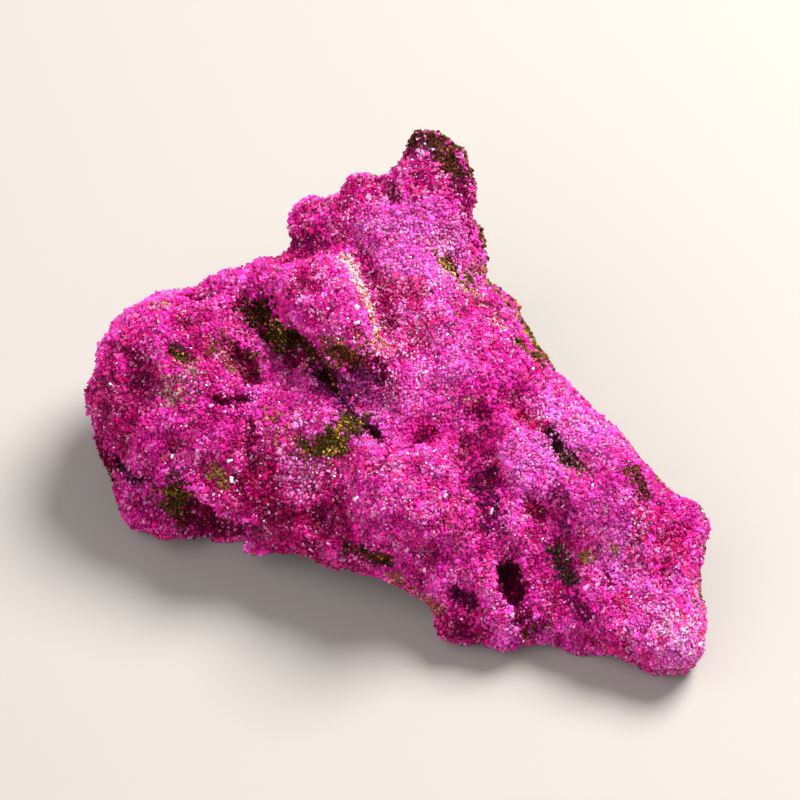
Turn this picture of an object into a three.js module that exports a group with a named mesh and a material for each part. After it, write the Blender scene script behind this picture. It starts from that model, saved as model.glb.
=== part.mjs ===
// A hand-sized rough corundum specimen: one three-armed lump of rock under a crust of crystals.
// A pointed peak stands at the back, a round lobe lies to the left and an arm runs to the right.
// Units are millimetres and +Z is up. The origin is the middle of the box's floor side,
// and the stone rests on the flat broken facet at z = 0.
//
// The stone is one continuous form. It is written as a list of named lumps that melt into each
// other and a list of named hollows that are taken out, plus a fine knobbly relief. The surface
// where that sum is zero is then turned into one closed skin of small flat facets.

import * as THREE from "three";
import { ImprovedNoise } from "three/addons/math/ImprovedNoise.js";

// ---------------------------------------------------------------------------------------------
// Driving dimensions
// ---------------------------------------------------------------------------------------------

const cell = 1.85; // side of one sampling cell, which sets the size of the facets
const half = { x: 46, y: 44 }; // half of the sampled box
const height = 46; // how far the sampled box reaches above the floor plane
const depth = 2 * cell; // how far it reaches below
const brokenBase = 1; // the stone is broken off this far below the floor plane, then pressed flat

const lumpBlend = 3.2; // how softly two lumps melt together
const hollowBlend = 1.6; // how softly the lip of a hollow is rounded

const knobs = { size: 6.5, reach: 1.5 }; // wide knobbly relief: wavelength and amplitude
const grit = { size: 3.1, reach: 0.9 }; // finer relief on top of it

const crustColour = 0xc02a8c;

// ---------------------------------------------------------------------------------------------
// The lumps of the stone
// ---------------------------------------------------------------------------------------------

// A lobe is an ellipsoid: its middle, its three radii and its turn in degrees about x, y and z.
// A limb is a round-ended cone: its two ends and the radius at each.
// A block is a round-edged box: its middle, half its sides, the edge radius and its turn.
const lobe = (at, radii, turn = [0, 0, 0], blend = lumpBlend) => ({ at, radii, turn, blend });
const limb = (from, to, r0, r1, blend = lumpBlend) => ({ from, to, r0, r1, blend });
const block = (at, halves, round, turn, blend = lumpBlend) => ({ at, halves, round, turn, blend });

const lumps = {
  core: lobe([-1, -2, 10], [21, 16, 14]),
  upperSlab: block([1.2, 11, 20], [8.2, 15, 8], 4, [13, -18, 23]),
  peak: limb([3, 19, 22], [4, 27.5, 35], 8, 3, 2),
  peakCorner: lobe([6.2, 26, 33.4], [2.6, 3, 2.8], [0, 0, 0], 1.5),
  peakBack: lobe([4.5, 23, 20], [6.5, 7, 15]),
  ridgeBump: limb([-3, 20.8, 24.4], [-10.5, 21.2, 25.4], 6.5, 4.8, 2),
  smallBump: lobe([-5.2, 25.2, 29], [3, 3, 3], [0, 0, 0], 1.5),
  backWall: lobe([3, 15, 8], [15, 13, 10]),
  rightWall: lobe([9.5, 1, 9], [12, 14, 12]),
  upperFlank: block([6.5, 10.5, 11], [7, 13, 12], 2, [0, 0, 21]),
  armFlank: block([16.5, -6.5, 6], [8.5, 10, 8], 2, [0, 0, 45]),
  leftBack: block([-23.5, 8, 7], [12, 8.5, 9], 3, [0, 0, -12]),
  ridge: limb([8, 2, 17], [28, -17.5, 11.5], 9.3, 8.3),
  ridgeLip: limb([14.5, -7, 20.5], [18, -19, 16.5], 3.2, 3, 1.5),
  belly: lobe([13, -18, 8], [13, 9, 10]),
  frontBulge: lobe([1.5, -17, 15.5], [8.5, 8, 8], [0, 0, 0], 1.5),
  frontSlab: block([-9, -14.6, 12.3], [16, 8.5, 4.5], 2, [32, 0, -18], 1.6),
  eaveEnd: lobe([-16.5, -16.4, 7], [4.5, 3.2, 4]),
  frontLip: limb([-2, -21, 8], [8, -26, 6.5], 3.5, 4.5, 2),
  tip: block([31.5, -24.3, 7], [8, 11, 5], 3.5, [24, 6, -14], 1.8),
  tipEnd: lobe([34.2, -31.6, 4.8], [6.5, 6.5, 5]),
  leftLobe: lobe([-28.5, 4, 14], [13.5, 14, 11]),
  leftShoulder: lobe([-19, 10.5, 14], [13, 10, 12.5]),
  leftFront: block([-25, -7.2, 13.8], [8, 9, 5], 3, [30, 0, -38]),
  thumb: limb([-10.8, 9.3, 24.5], [-7.8, 2, 24.2], 6.8, 6.2, 0.8),
  leftCheek: lobe([-37, 0.8, 11.5], [4.2, 5, 5]),
  foot: lobe([-29.6, -7.7, 5], [10.2, 8, 5.5], [0, 0, -20], 1.2),
  footHeel: lobe([-37.2, -1.6, 7.5], [4, 4, 4.5], [0, 0, 0], 1.5),
  recessWall: lobe([-22.5, -11, 2.5], [4, 3.2, 4]),
  bottomLobe: lobe([8, -30, 3.5], [3.5, 3.2, 3.2], [0, 0, 0], 1.5),
  lowerFront: lobe([15, -28.5, 5], [7, 4.5, 5]),
  lowerArm: lobe([24, -28, 4], [5, 3.5, 4]),
};

// ---------------------------------------------------------------------------------------------
// The hollows
// ---------------------------------------------------------------------------------------------

const hollows = {
  bumpFold: limb([-15, 15.5, 27], [-7, 15, 29.5], 2.1, 2.1),
  thumbFold: limb([-6, 14, 29.8], [-1.2, 1, 27.8], 2, 2.1),
  crevice: limb([-20.5, 6.5, 25.5], [-12.5, -3, 23.5], 2.7, 3.2),
  crack: limb([-12, -3.5, 23.2], [-3.6, -12, 22.5], 2.4, 1.8),
  basin: lobe([-4.5, -6, 25], [4.8, 4, 5]),
  leftHollow: lobe([-35, -2, 22], [3, 3.6, 3.2]),
  oliveSpot: lobe([-29.2, -1.2, 25.2], [2.4, 2.4, 2.2]),
  redHollow: lobe([-20.8, -1, 24], [3.4, 2.6, 3]),
  footRecess: limb([-32, -12.5, 9], [-25, -14.5, 7], 2.6, 3),
  underEave: limb([-29, -16.8, 10.6], [-21.5, -20.2, 8.2], 3, 3.4),
  creek: limb([-0.5, -14, 23.3], [11, -8.5, 24], 2.1, 2.4),
  valley: limb([9, -13.5, 21], [11, -24, 19], 2.8, 3.8),
  redGroove: limb([15.5, -7, 24.5], [19, -12, 23.5], 1.8, 1.9),
  greyPit: limb([20.5, -14, 21.8], [23.5, -17, 20.8], 2.6, 2.6),
  cave: lobe([14.4, -28.5, 12.5], [2.4, 3.6, 4.6]),
  armValley: limb([19.5, -22.5, 16.5], [23, -33, 9.5], 2.8, 3.2),
  frontPit: lobe([-10, -20.8, 15], [2.2, 2.2, 2.2]),
  lowerPit: lobe([9, -29.8, 9.7], [2, 2, 2]),
  brownPit: lobe([17.5, -21.5, 18.5], [2.1, 2.1, 2]),
};

// ---------------------------------------------------------------------------------------------
// The field: negative inside the stone, positive outside, about the distance in millimetres
// ---------------------------------------------------------------------------------------------

function prepare(form) {
  if (form.from) {
    const a = new THREE.Vector3(...form.from);
    const axis = new THREE.Vector3(...form.to).sub(a);
    return { ...form, a, axis, length2: axis.lengthSq() };
  }
  const turn = new THREE.Euler(...form.turn.map(THREE.MathUtils.degToRad), "ZYX");
  const unturn = new THREE.Matrix4().makeRotationFromEuler(turn).invert();
  return { ...form, middle: new THREE.Vector3(...form.at), unturn };
}

const q = new THREE.Vector3();

function distanceTo(form, p) {
  if (form.from) {
    q.copy(p).sub(form.a);
    const t = THREE.MathUtils.clamp(q.dot(form.axis) / form.length2, 0, 1);
    return q.addScaledVector(form.axis, -t).length() - THREE.MathUtils.lerp(form.r0, form.r1, t);
  }
  q.copy(p).sub(form.middle).applyMatrix4(form.unturn);
  if (form.halves) {
    const [hx, hy, hz] = form.halves.map((side) => side - form.round);
    const out = [Math.abs(q.x) - hx, Math.abs(q.y) - hy, Math.abs(q.z) - hz];
    const beyond = Math.hypot(...out.map((side) => Math.max(side, 0)));
    return beyond + Math.min(Math.max(...out), 0) - form.round;
  }
  const [rx, ry, rz] = form.radii;
  const near = Math.hypot(q.x / rx, q.y / ry, q.z / rz);
  const slope = Math.hypot(q.x / rx ** 2, q.y / ry ** 2, q.z / rz ** 2);
  return slope < 1e-9 ? -Math.min(rx, ry, rz) : (near * (near - 1)) / slope;
}

// The lesser of two distances, with the corner between them rounded over a width of k.
function softMin(a, b, k) {
  const h = Math.max(k - Math.abs(a - b), 0) / k;
  return Math.min(a, b) - (h * h * k) / 4;
}

const solidForms = Object.values(lumps).map(prepare);
const hollowForms = Object.values(hollows).map(prepare);
const noise = new ImprovedNoise();

function relief(p, { size, reach }, seed) {
  return reach * noise.noise(p.x / size + seed, p.y / size + seed, p.z / size);
}

function field(p) {
  let d = Infinity;
  for (const form of solidForms) {
    const next = distanceTo(form, p);
    d = d === Infinity ? next : softMin(d, next, form.blend);
  }
  for (const form of hollowForms) {
    d = -softMin(-d, distanceTo(form, p), hollowBlend);
  }
  const rough = d - relief(p, knobs, 3.1) - relief(p, grit, 11.7);
  return Math.max(rough, -brokenBase - p.z);
}

// ---------------------------------------------------------------------------------------------
// The skin: one corner in each cell that the surface crosses, one quad across each crossed edge
// ---------------------------------------------------------------------------------------------

// Moves a corner towards the true surface, along the steepest way, but never out of its cell.
function settle(point, low) {
  const e = cell / 8;
  const at = (x, y, z) => field(new THREE.Vector3(point.x + x, point.y + y, point.z + z));
  const slope = new THREE.Vector3(
    at(e, 0, 0) - at(-e, 0, 0),
    at(0, e, 0) - at(0, -e, 0),
    at(0, 0, e) - at(0, 0, -e),
  ).divideScalar(2 * e);
  const shift = -at(0, 0, 0) / Math.max(slope.lengthSq(), 0.25);
  point.addScaledVector(slope, THREE.MathUtils.clamp(shift, -cell / 2, cell / 2));
  const margin = cell / 12;
  return point.clamp(low.clone().addScalar(margin), low.clone().addScalar(cell - margin));
}

function skinOf(fieldAt) {
  const nx = Math.ceil((2 * half.x) / cell);
  const ny = Math.ceil((2 * half.y) / cell);
  const nz = Math.ceil((height + depth) / cell);
  const corner = (i, j, k) => new THREE.Vector3(
    -half.x + i * cell,
    -half.y + j * cell,
    -depth + k * cell,
  );
  const id = (i, j, k) => i + (nx + 1) * (j + (ny + 1) * k);
  const value = new Float64Array((nx + 1) * (ny + 1) * (nz + 1));
  for (let k = 0; k <= nz; k++)
    for (let j = 0; j <= ny; j++)
      for (let i = 0; i <= nx; i++) value[id(i, j, k)] = fieldAt(corner(i, j, k));

  // The skin would touch itself where only two opposite corners of a cell's side are inside, or
  // where only two opposite corners of a cell are outside: there the nearer outside corner is
  // taken inside as well. So is an outside corner with stone all round it, a sealed bubble.
  const across = [id(1, 0, 0), id(0, 1, 0), id(0, 0, 1)];
  const cellCorners = [0, 1, 2, 3, 4, 5, 6, 7].map((c) => id(c & 1, (c >> 1) & 1, c >> 2));
  const isOutside = (n) => value[n] >= 0;
  const fillTouches = () => {
    let filled = 0;
    const fill = (outside) => {
      outside.sort((m, n) => value[m] - value[n]);
      value[outside[0]] = -cell / 20;
      filled++;
    };
    for (let at = across[2]; at < value.length - cellCorners[7]; at++) {
      for (const [u, v] of [[0, 1], [1, 2], [2, 0]]) {
        const side = [at, at + across[u] + across[v], at + across[u], at + across[v]];
        const [a, b, c, d] = side.map(isOutside);
        if (a === b && c === d && a !== c) fill(side.filter(isOutside));
      }
      const outside = cellCorners.map((n) => at + n).filter(isOutside);
      if (outside.length === 2 && outside[0] + outside[1] === 2 * at + cellCorners[7]) fill(outside);
      const around = across.flatMap((n) => [at - n, at + n]);
      if (isOutside(at) && !around.some(isOutside)) fill([at]);
    }
    return filled;
  };
  while (fillTouches());

  const edges = [];
  for (let a = 0; a < 8; a++)
    for (const bit of [1, 2, 4]) if (!(a & bit)) edges.push([a, a | bit]);
  const step = (c) => [c & 1, (c >> 1) & 1, (c >> 2) & 1];

  const points = [];
  const pointOf = new Map();
  for (let k = 0; k < nz; k++)
    for (let j = 0; j < ny; j++)
      for (let i = 0; i < nx; i++) {
        const sum = new THREE.Vector3();
        let crossed = 0;
        for (const [a, b] of edges) {
          const [ai, aj, ak] = step(a);
          const [bi, bj, bk] = step(b);
          const va = value[id(i + ai, j + aj, k + ak)];
          const vb = value[id(i + bi, j + bj, k + bk)];
          if (va < 0 === vb < 0) continue;
          const pa = corner(i + ai, j + aj, k + ak);
          const pb = corner(i + bi, j + bj, k + bk);
          sum.add(pa.lerp(pb, va / (va - vb)));
          crossed++;
        }
        if (!crossed) continue;
        pointOf.set(id(i, j, k), points.length);
        points.push(settle(sum.divideScalar(crossed), corner(i, j, k)));
      }

  const triangles = [];
  const quad = (a, b, c, d, flip) => {
    const ring = (flip ? [a, d, c, b] : [a, b, c, d]).map((cellId) => pointOf.get(cellId));
    const [p0, p1, p2, p3] = ring.map((n) => points[n]);
    if (p0.distanceToSquared(p2) <= p1.distanceToSquared(p3))
      triangles.push(ring[0], ring[1], ring[2], ring[0], ring[2], ring[3]);
    else triangles.push(ring[0], ring[1], ring[3], ring[1], ring[2], ring[3]);
  };
  for (let k = 1; k < nz; k++)
    for (let j = 1; j < ny; j++)
      for (let i = 1; i < nx; i++) {
        const here = value[id(i, j, k)] < 0;
        if (here !== value[id(i + 1, j, k)] < 0)
          quad(id(i, j, k), id(i, j - 1, k), id(i, j - 1, k - 1), id(i, j, k - 1), !here);
        if (here !== value[id(i, j + 1, k)] < 0)
          quad(id(i, j, k), id(i, j, k - 1), id(i - 1, j, k - 1), id(i - 1, j, k), !here);
        if (here !== value[id(i, j, k + 1)] < 0)
          quad(id(i, j, k), id(i - 1, j, k), id(i - 1, j - 1, k), id(i, j - 1, k), !here);
      }
  return { points, triangles };
}

const { points, triangles } = skinOf(field);

// The broken facet: what lies below the floor plane is pressed up into it.
for (const point of points) point.z = Math.max(point.z, 0);

const skin = new THREE.BufferGeometry();
skin.setAttribute("position", new THREE.Float32BufferAttribute(points.flatMap((p) => p.toArray()), 3));
skin.setIndex(triangles);

// The origin goes to the middle of the stone's box, on the floor plane.
skin.computeBoundingBox();
const middle = skin.boundingBox.getCenter(new THREE.Vector3());
skin.translate(-middle.x, -middle.y, 0);
skin.computeVertexNormals();

const stone = new THREE.Mesh(
  skin,
  new THREE.MeshStandardMaterial({ color: crustColour, roughness: 0.55, metalness: 0 }),
);
stone.name = "corundum_stone";

const specimen = new THREE.Group();
specimen.add(stone);

export default specimen;
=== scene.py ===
"""Looks for a hand-sized rough corundum stone: small magenta crystals grown over olive-brown host rock.

The stone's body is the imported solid, made finer and roughened, and every crystal on it is a small
closed flat-faced block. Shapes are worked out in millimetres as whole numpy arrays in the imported
part's frame (origin in the middle of the box on the floor, +Y towards the peak, +Z up), and become
metres when a mesh is made.
"""

import math

import bpy
import numpy as np
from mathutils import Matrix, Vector


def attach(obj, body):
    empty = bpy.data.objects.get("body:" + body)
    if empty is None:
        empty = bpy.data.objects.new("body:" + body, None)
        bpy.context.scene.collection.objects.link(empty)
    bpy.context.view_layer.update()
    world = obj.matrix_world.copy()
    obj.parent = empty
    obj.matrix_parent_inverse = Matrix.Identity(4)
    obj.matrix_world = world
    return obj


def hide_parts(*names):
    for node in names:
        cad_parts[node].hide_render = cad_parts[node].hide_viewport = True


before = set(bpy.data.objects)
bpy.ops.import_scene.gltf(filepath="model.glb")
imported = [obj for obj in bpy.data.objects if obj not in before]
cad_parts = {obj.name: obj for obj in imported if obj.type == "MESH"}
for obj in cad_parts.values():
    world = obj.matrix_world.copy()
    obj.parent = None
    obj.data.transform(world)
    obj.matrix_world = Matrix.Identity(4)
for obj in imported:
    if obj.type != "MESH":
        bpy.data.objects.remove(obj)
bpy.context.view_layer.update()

MM = 0.001
TINY = 1e-12  # keeps a division away from zero
UP = np.array([0.0, 0.0, 1.0])
SIDEWAYS = np.array([1.0, 0.0, 0.0])


# -------------------- noise and falloffs


def lattice_random(corner, seed):
    """A steady number from 0 to 1 for each whole-numbered lattice corner: its three coordinates are
    multiplied by large odd numbers, mixed by shifts and cut to 24 bits."""
    c = corner.astype(np.int64).astype(np.uint64)
    mixed = c[..., 0] * np.uint64(0x9E3779B1) + c[..., 1] * np.uint64(0x85EBCA77)
    mixed += c[..., 2] * np.uint64(0xC2B2AE3D) + np.uint64(seed * 7919 + 1)
    mixed ^= mixed >> np.uint64(15)
    mixed *= np.uint64(0x2C1B3C6D)
    mixed ^= mixed >> np.uint64(13)
    mixed *= np.uint64(0x297A2D39)
    mixed ^= mixed >> np.uint64(16)
    return (mixed & np.uint64(0xFFFFFF)).astype(float) / 0xFFFFFF


def clouds(points, size, seed):
    """Smooth noise from -1 to 1: the random numbers of the eight lattice corners round each point,
    blended by smoothstep weights, on a lattice of the given size in millimetres."""
    place = points / size
    low = np.floor(place)
    part = place - low
    part = part * part * (3 - 2 * part)
    total = np.zeros(len(points))
    for corner in np.ndindex(2, 2, 2):
        side = np.array(corner)
        weight = np.prod(np.where(side == 1, part, 1 - part), axis=1)
        total += weight * lattice_random(low + side, seed)
    return 2 * total - 1


def layered_clouds(points, size, seed, layers=3):
    """Clouds at the given size, plus clouds of half the size and half the strength, and so on."""
    layer = range(layers)
    return sum(clouds(points, size / 2**k, seed + k) / 2**k for k in layer) / (2 - 0.5 ** (layers - 1))


def mixed_clouds(points, mix, start=0.0):
    """The start, plus layered clouds times each strength of a mix, in which every line is a strength,
    a size in millimetres, a seed and a number of layers."""
    total = start
    for strength, size, seed, layers in mix:
        total = total + strength * layered_clouds(points, size, seed, layers)
    return total


def domes(points, size, seed, margin=0.15):
    """Crowded round knobs: one minus the squared distance to the nearest of a set of scattered
    middles, one in each lattice cell, which keeps the margin to the cell's sides. Also gives a steady
    random number for each knob."""
    place = points / size
    low = np.floor(place)
    nearest = np.full(len(points), np.inf)
    owner = np.zeros(len(points))
    for corner in np.ndindex(3, 3, 3):
        cell = low + np.array(corner) - 1
        shift = np.stack([lattice_random(cell, seed + k) for k in range(3)], axis=1)
        away = np.sum((cell + margin + (1 - 2 * margin) * shift - place) ** 2, axis=1)
        closer = away < nearest
        nearest = np.where(closer, away, nearest)
        owner = np.where(closer, shift[:, 0], owner)
    return 1 - np.minimum(nearest, 1), owner


def smooth_step(low, high, value):
    """From 0 at the low end to 1 at the high end, level at both; the low end may be the larger."""
    t = np.clip((value - low) / (high - low), 0, 1)
    return t * t * (3 - 2 * t)


def distance_to_path(points, path):
    """The distance from each point to a chain of straight stretches through the path's places."""
    best = np.full(len(points), np.inf)
    path = np.array(path, float)
    starts, ends = (path, path) if len(path) == 1 else (path[:-1], path[1:])
    for a, b in zip(starts, ends):
        run = b - a
        t = np.clip((points - a) @ run / max(run @ run, TINY), 0, 1)
        best = np.minimum(best, np.linalg.norm(points - a - t[:, None] * run, axis=1))
    return best


# -------------------- the body's skin


def joined_corners(node):
    """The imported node's loose triangles as shared corners in millimetres, and the triangles."""
    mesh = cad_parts[node].data
    corners = np.empty(3 * len(mesh.vertices))
    mesh.vertices.foreach_get("co", corners)
    loops = np.empty(len(mesh.loops), np.int32)
    mesh.loops.foreach_get("vertex_index", loops)
    places = np.round(corners.reshape(-1, 3) / MM, 3)
    shared, which = np.unique(places, axis=0, return_inverse=True)
    return shared, which.reshape(-1)[loops].reshape(-1, 3)


def quarters(corners, middles):
    """Four small triangles for each: one at each corner, and one between the sides' middles."""
    a, b, c = corners
    ab, bc, ca = middles
    new = [(a, ab, ca), (b, bc, ab), (c, ca, bc), (ab, bc, ca)]
    return np.concatenate([np.stack(t, axis=1) for t in new])


def split_in_four(points, triangles, maps):
    """Every triangle becomes four, with a new corner in the middle of each side. The maps' corners,
    one set for each triangle, are split in the same way."""
    sides = np.sort(np.concatenate([triangles[:, [k, (k + 1) % 3]] for k in range(3)]), axis=1)
    pairs, which = np.unique(sides, axis=0, return_inverse=True)
    middle = len(points) + which.reshape(3, -1).T
    points = np.concatenate([points, points[pairs].mean(axis=1)])
    flat = maps.swapaxes(0, 1)
    maps = quarters(flat, (flat + np.roll(flat, -1, axis=0)) / 2)
    return points, quarters(triangles.T, middle.T), maps


def mean_of_neighbours(values, triangles):
    """For each corner, the mean of the values at the corners that share a side with it."""
    a = triangles[:, [0, 1, 1, 2, 2, 0]].reshape(-1)
    b = triangles[:, [1, 0, 2, 1, 0, 2]].reshape(-1)
    count = np.bincount(a, minlength=len(values))
    return np.stack([np.bincount(a, v[b], len(values)) for v in values.T], axis=1) / count[:, None]


def across_facets(points, triangles):
    """For each triangle, the vector at right angles to it that is twice its area long."""
    p, q, r = points[triangles.T]
    return np.cross(q - p, r - p)


def unit(vectors):
    """The vectors divided by their lengths."""
    return vectors / np.maximum(np.linalg.norm(vectors, axis=1), TINY)[:, None]


def corner_normals(points, triangles):
    """Unit normals: the sum of the area-weighted normals of the triangles round each corner."""
    across = across_facets(points, triangles)
    total = np.zeros_like(points)
    for k in range(3):
        total += np.stack([np.bincount(triangles[:, k], v, len(points)) for v in across.T], axis=1)
    return unit(total)


def half_cells(count, gap=0.06):
    """A flat map in which each triangle fills one of the two halves of a small square cell, but for
    a gap along its sides."""
    cells = (count + 1) // 2
    across = math.ceil(math.sqrt(cells))
    number = np.arange(count) // 2
    low = np.stack([number % across, number // across], axis=1) / across
    lower = np.array([[gap, gap], [1 - 2 * gap, gap], [gap, 1 - 2 * gap]])
    upper = 1 - lower
    shape = np.where((np.arange(count) % 2 == 0)[:, None, None], lower, upper)
    return low[:, None, :] + shape / across


# Folds, pits and dents: path in mm, half width and depth. The last three are broad dents that trim the
# outline, and the others are too small for the solid.
CUTS = {
    "crevice": ([(-18.7, 11.4, 23.7), (-16.0, 8.4, 22.1), (-13.0, 5.9, 20.2)], 1.5, 1.3),
    "thumb_gap": ([(-13.0, 6.8, 21.6), (-11.8, 5.1, 22.0), (-10.7, 3.8, 21.7), (-9.6, 2.0, 22.2)],
                  1.0, 0.8),
    "crack": ([(-10.2, 2.6, 21.5), (-9.4, 1.1, 21.7), (-8.5, -0.3, 21.9), (-7.6, -1.3, 21.7),
               (-6.7, -2.0, 21.2), (-5.8, -3.0, 20.9), (-4.8, -4.8, 21.2), (-3.9, -6.2, 21.2),
               (-3.0, -6.8, 20.5)], 0.5, 1.7),
    "crack_tail": ([(-2.7, -6.8, 20.3), (-1.6, -10.0, 21.2), (-1.2, -12.5, 22.4)], 0.7, 0.7),
    "thumb_spot": ([(-7.4, 0.6, 27.0)], 1.0, 0.9),
    "warm_hollow": ([(-21.6, 4.5, 23.9), (-19.9, 3.4, 22.3), (-18.9, 1.7, 21.4)], 1.7, 1.1),
    "crescent_left": ([(-23.7, -2.8, 21.6), (-22.2, -3.1, 21.4)], 0.6, 0.9),
    "crescent_right": ([(-20.8, -3.0, 21.8), (-19.4, -2.5, 22.2)], 0.6, 0.9),
    "standing_slit": ([(-19.1, -5.9, 20.1), (-18.8, -7.6, 19.3), (-19.1, -8.8, 17.9)], 0.8, 0.6),
    "low_left_dent": ([(-28.8, -7.2, 17.2)], 1.3, 0.5),
    "shoulder_dent": ([(-27.9, 7.7, 24.8)], 1.5, 0.4),
    "olive_hollow": ([(-29.2, 3.4, 24.6), (-28.0, 2.1, 24.3)], 1.0, 0.5),
    "left_hollow": ([(-34.9, 3.8, 20.8), (-34.0, 2.5, 19.6)], 1.4, 0.4),
    "creek": ([(1.8, -10.8, 22.2), (3.3, -8.4, 20.8), (4.9, -7.4, 20.8)], 0.7, 0.5),
    "creek_hole": ([(11.3, -5.1, 21.5)], 1.0, 0.5),
    "small_dent": ([(0.1, -4.7, 21.9)], 0.9, 0.5),
    "red_groove": ([(16.1, -4.6, 22.4), (17.2, -5.9, 22.4), (18.4, -6.9, 22.1), (19.8, -7.6, 21.7)],
                   0.75, 1.1),
    "slit": ([(20.5, -7.9, 21.6), (21.1, -9.1, 20.6)], 0.6, 0.7),
    "grey_pit": ([(21.5, -9.4, 20.0), (22.6, -10.6, 19.2), (23.9, -11.2, 18.5)], 0.7, 1.0),
    "valley_pit": ([(10.9, -12.9, 17.2), (12.4, -11.8, 17.6)], 0.9, 0.6),
    "brown_pit": ([(17.8, -16.4, 16.2), (19.0, -17.0, 15.0)], 1.0, 0.5),
    "arm_valley": ([(20.8, -20.4, 11.1), (22.1, -21.3, 9.7), (23.0, -23.0, 9.0)], 1.1, 0.6),
    "cave": ([(14.5, -22.6, 10.5), (15.1, -24.5, 9.5), (16.3, -26.0, 9.0)], 1.3, 2.0),
    "lower_dent_left": ([(8.2, -24.9, 8.6)], 0.9, 0.8),
    "lower_dent_right": ([(10.0, -26.1, 8.2)], 0.9, 0.8),
    "tip_pit": ([(27.6, -23.9, 11.8)], 0.8, 0.5),
    "front_pit": ([(-9.7, -15.7, 13.9), (-8.8, -16.6, 12.6)], 1.2, 0.6),
    "olive_strip": ([(-5.7, -20.4, 12.5), (-3.6, -21.6, 12.2), (-1.5, -22.1, 11.4)], 0.7, 0.8),
    "peak_gap": ([(-1.2, 26.4, 32.6), (-0.3, 23.9, 32.1)], 0.9, 1.0),
    "recess": ([(-27.0, -8.9, 5.9), (-23.8, -10.0, 3.7), (-21.0, -11.0, 4.0)], 1.4, 1.2),
    "rim_fold": ([(-4.8, 18.8, 27.4), (-3.5, 16.3, 26.7), (-2.2, 11.1, 26.5), (-1.1, 7.5, 25.5)], 0.9, 0.9),
    "shoulder_notch": ([(-28.0, 15.2, 23.8), (-27.4, 19.5, 21.6)], 3.3, 3.7),
    "slab_side": ([(12.0, 26.4, 24.5), (12.4, 22.8, 23.6)], 3.0, 2.9),
    "low_bay": ([(19.6, -29.6, 4.2), (21.6, -29.9, 3.6)], 2.2, 2.8),
}

# Where the crust is smoother than elsewhere, or rougher where the last number is below zero: middle
# and radius in mm, and by how much.
SMOOTH = {
    "upper_slab": ((1.4, 17.7, 30.2), 9.0, 0.3),
    "slab_foot": ((2.9, 2.2, 24.7), 8.0, -0.35),
    "tip_plate": ((34.0, -23.0, 11.5), 9.0, -0.15),
    "thumb_top": ((-9.9, 7.7, 29.9), 5.0, -0.1),
    "bright_ridge": ((17.6, -12.0, 19.9), 5.0, 0.4),
    "olive_patch": ((-8.7, -8.0, 19.4), 3.5, -0.7),
    "left_lobe": ((-28.0, 0.0, 21.0), 10.0, 0.25),
}

# Where the crust is painted lighter or darker than elsewhere: painted light on the lit slab, ridge, arm and
# tip, and painted shade on the front, the foot, the left edge and the bumps, partly with the crust's own
# tone. Frost, the finest pale crystals, lies more on the lit faces, partly as painted sparkle. Each entry:
# middle and radius in mm, by how much, and how frosted it is with the finest pale crystals.
ZONES = {
    "slab": ((1.0, 16.5, 29.0), 10.0, 0.36, 1.1),
    "slab_edge": ((9.0, 16.5, 26.5), 5.0, 0.22, 1.2),
    "slab_foot": ((3.1, 2.5, 24.9), 8.0, 0.20, 1.0),
    "bump": ((-10.0, 23.0, 29.0), 5.0, -0.22, 0.3),
    "thumb_top": ((-11.0, 9.0, 30.0), 6.0, -0.24, 0.6),
    "centre": ((1.7, -16.8, 20.5), 6.5, -0.08, 0.9),
    "bright_ridge": ((17.8, -12.0, 19.9), 5.0, 0.27, 0.7),
    "arm_top": ((25.0, -6.0, 22.0), 8.0, 0.22, 0.9),
    "tip_end": ((36.0, -30.0, 8.5), 7.0, 0.20, 1.5),
    "left_lobe": ((-31.0, 1.0, 20.0), 11.0, -0.20, 0.0),
    "lobe_front": ((-20.5, -11.0, 15.5), 6.5, -0.38, 0.1),
    "front": ((-12.5, -14.0, 15.0), 7.0, -0.25, 0.1),
    "front_foot": ((-12.0, -18.5, 9.5), 9.0, -0.37, 0.0),
    "valley_side": ((11.5, -14.0, 17.0), 4.5, -0.12, 0.2),
    "tip": ((30.0, -21.0, 13.5), 7.0, 0.17, 0.6),
    "small_bump": ((-5.0, 25.4, 31.2), 3.4, -0.50, 0.2),
    "foot": ((-33.0, -8.0, 6.5), 9.0, -0.27, 0.0),
    "peak_face": ((3.0, 27.0, 34.5), 5.0, -0.37, 0.4),
    "bump_side": ((-13.0, 21.0, 26.0), 4.5, -0.22, 0.0),
    "low_edge": ((26.0, -31.0, 3.0), 9.0, -0.14, 0.0),
    "left_edge": ((-39.0, -0.5, 15.5), 6.5, -0.42, 0.0),
    "left_top": ((-24.0, 11.0, 25.5), 8.0, -0.14, 0.2),
    "mid_left": ((0.0, 0.2, 23.7), 3.5, -0.26, 0.3),
    "low_lobe": ((8.0, -28.0, 5.5), 5.0, -0.30, 0.0),
}
PAINTED_LIGHT_SHADE, FROSTED = 2, 3  # where those two values stand in an entry

# A named place fades out between these times its radius: nothing is left of it at the first, and at
# the second it is whole.
SMOOTH_EDGE = 1.2, 0.6
ZONE_EDGE = 1.25, 0.5
PATCH_EDGE = 1.5, 0.3

# The skin lies this far under the solid, in mm, so that the crystals' tips reach it.
SINK = 0.32

# Smoothing, before and after each split of the facets in four.
ON_FLOOR = 1e-3  # a corner lower than this, in mm, rests on the floor
WORN_HEIGHTS = 9, 4  # in mm: above the first the back's edges aren't worn, below the second fully
WORN_BACK = -8, -2  # the same in mm towards the back
WORN_ROUNDS = 12
SPLITS = 2
EVENING = (0.55, -0.35, 0.55)  # shares of the way to the neighbours' mean; the step back keeps the size

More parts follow.
